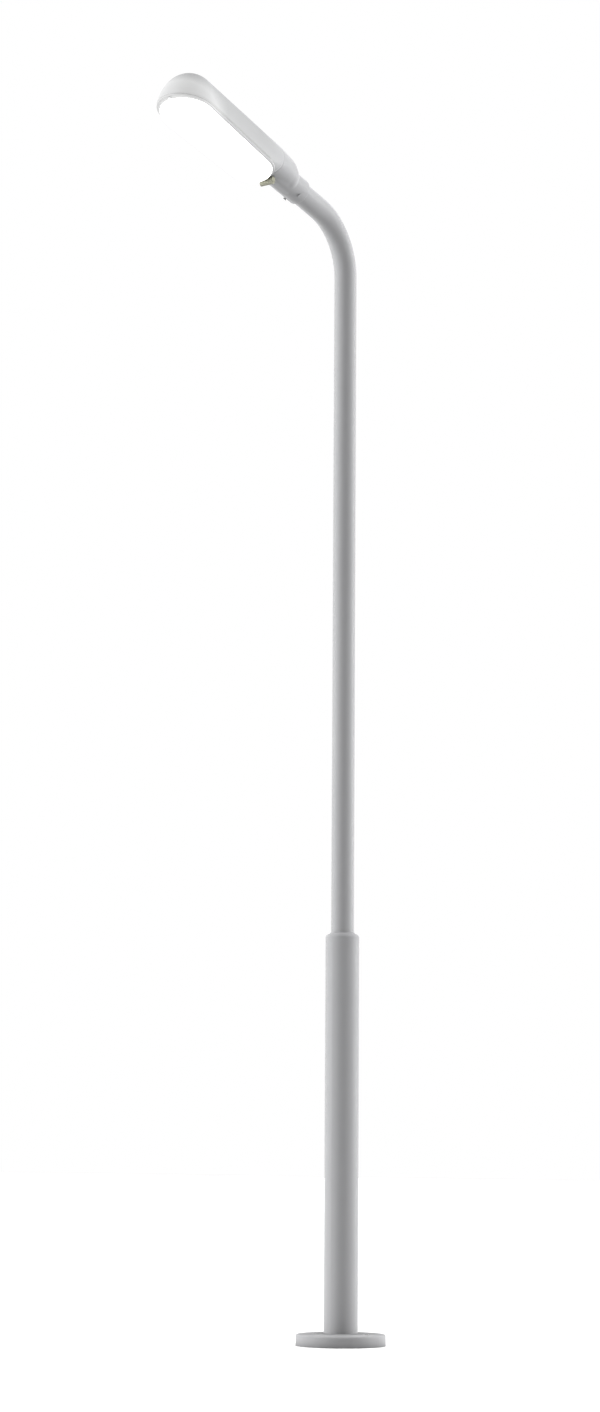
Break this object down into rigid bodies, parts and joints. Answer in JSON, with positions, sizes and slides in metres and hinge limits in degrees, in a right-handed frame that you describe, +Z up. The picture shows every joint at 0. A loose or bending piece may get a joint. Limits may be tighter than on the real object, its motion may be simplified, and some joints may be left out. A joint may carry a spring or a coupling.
{
  "type": "street lamp post",
  "caption": "Stepped steel lamp column with a bent arm, a long lantern with a hinged lit bowl, a lockable service door and a round covered foot.",
  "frame": {"origin": "centre of the foot, on the ground under the base plate", "axes": "+Z up along the column, +X out along the arm to the lantern, +Y across it"},
  "size_m": [1.6692, 0.441, 6.0848],
  "materials": {
    "painted_steel": "satin light grey paint",
    "galvanised_steel": "dull zinc",
    "bright_steel": "plain stainless",
    "hinge_casting": "dull olive grey",
    "rubber_seal": "matt",
    "pale_seal": "matt pale silicone",
    "black_plastic": "matt moulded",
    "carrier_plastic": "gloss moulded",
    "white_ceramic": "glazed",
    "board": "plywood, varnished",
    "brass": "dull",
    "cable_sheath": "matt sheath",
    "earth_sheath": "green and yellow sheath",
    "translucent_canopy": "translucent glass-fibre, satin",
    "frosted_bowl": "opal, lit from inside",
    "ballast_core": "varnished laminations",
    "metal_can": "drawn can",
    "mirror_sheet": "bright rolled",
    "lamp_glass": "clear",
    "lamp_burner": "sintered"
  },
  "bodies": {
    "column": {"anchor_nuts": "galvanised_steel", "anchor_washers": "galvanised_steel", "arc_tube": "lamp_burner", "backboard": "board", "backboard_rails": "galvanised_steel", "backboard_screws": "bright_steel", "ballast": "ballast_core", "base_cover_front": "painted_steel", "base_cover_rear": "painted_steel", "base_plate": "galvanised_steel", "base_tube": "painted_steel", "base_weld": "galvanised_steel", "bowl_hinge_pin": "hinge_casting", "cable_clamp": "black_plastic", "cable_gland": "black_plastic", "canopy": "translucent_canopy", "capacitor": "metal_can", "catch_keeper": "galvanised_steel", "clamp_screws": "painted_steel", "cover_joint_plates": "galvanised_steel", "cover_screws": "bright_steel", "cutout_base": "black_plastic", "door_hinge_pins": "bright_steel", "earth_lead": "earth_sheath", "earth_stud": "brass", "gear_tray": "galvanised_steel", "hinge_ears": "hinge_casting", "ignitor": "metal_can", "lamp_cap": "brass", "lamp_envelope": "lamp_glass", "lampholder": "white_ceramic", "lampholder_bracket": "galvanised_steel", "lantern_terminals": "black_plastic", "neck_housing": "painted_steel", "post_hinge_leaves": "painted_steel", "reflector": "mirror_sheet", "riser_cable": "cable_sheath", "shaft_tube": "painted_steel", "shoulder_ring": "painted_steel", "spacer_ring": "galvanised_steel", "supply_terminals": "black_plastic"},
    "door": {"door_plate": "painted_steel", "door_gasket": "rubber_seal", "door_hinge_leaves": "painted_steel", "lock_bush": "bright_steel"},
    "door_lock": {"lock_barrel": "bright_steel", "lock_cam": "galvanised_steel"},
    "fuse_carrier": {"fuse_carrier": "carrier_plastic", "fuse_link": "white_ceramic"},
    "bowl": {"bowl": "frosted_bowl", "bowl_frame": "translucent_canopy", "bowl_gasket": "pale_seal", "bowl_knuckle": "hinge_casting"},
    "bowl_catch": {"bowl_catch": "bright_steel"}
  },
  "joints": [
    {"name": "door_swing", "type": "hinge", "parent": "column", "child": "door", "pos_m": [-0.0691, -0.05798, 0.85], "axis": [0, 0, 1], "range_deg": [0, 110]},
    {"name": "door_lock_turn", "type": "hinge", "parent": "door", "child": "door_lock", "pos_m": [-0.08033, 0.02456, 0.85], "axis": [-0.9563, 0.2924, 0], "range_deg": [0, 90]},
    {"name": "fuse_carrier_pull", "type": "slide", "parent": "column", "child": "fuse_carrier", "axis": [-1, 0, 0], "range_m": [0, 0.025]},
    {"name": "bowl_swing", "type": "hinge", "parent": "column", "child": "bowl", "pos_m": [0.66564, 0, 5.7078], "axis": [0, 1, 0], "range_deg": [0, 105]},
    {"name": "bowl_catch_turn", "type": "hinge", "parent": "bowl", "child": "bowl_catch", "pos_m": [1.43431, 0, 5.92619], "axis": [-0.2588, 0, 0.9659], "range_deg": [0, 90]}
  ]
}
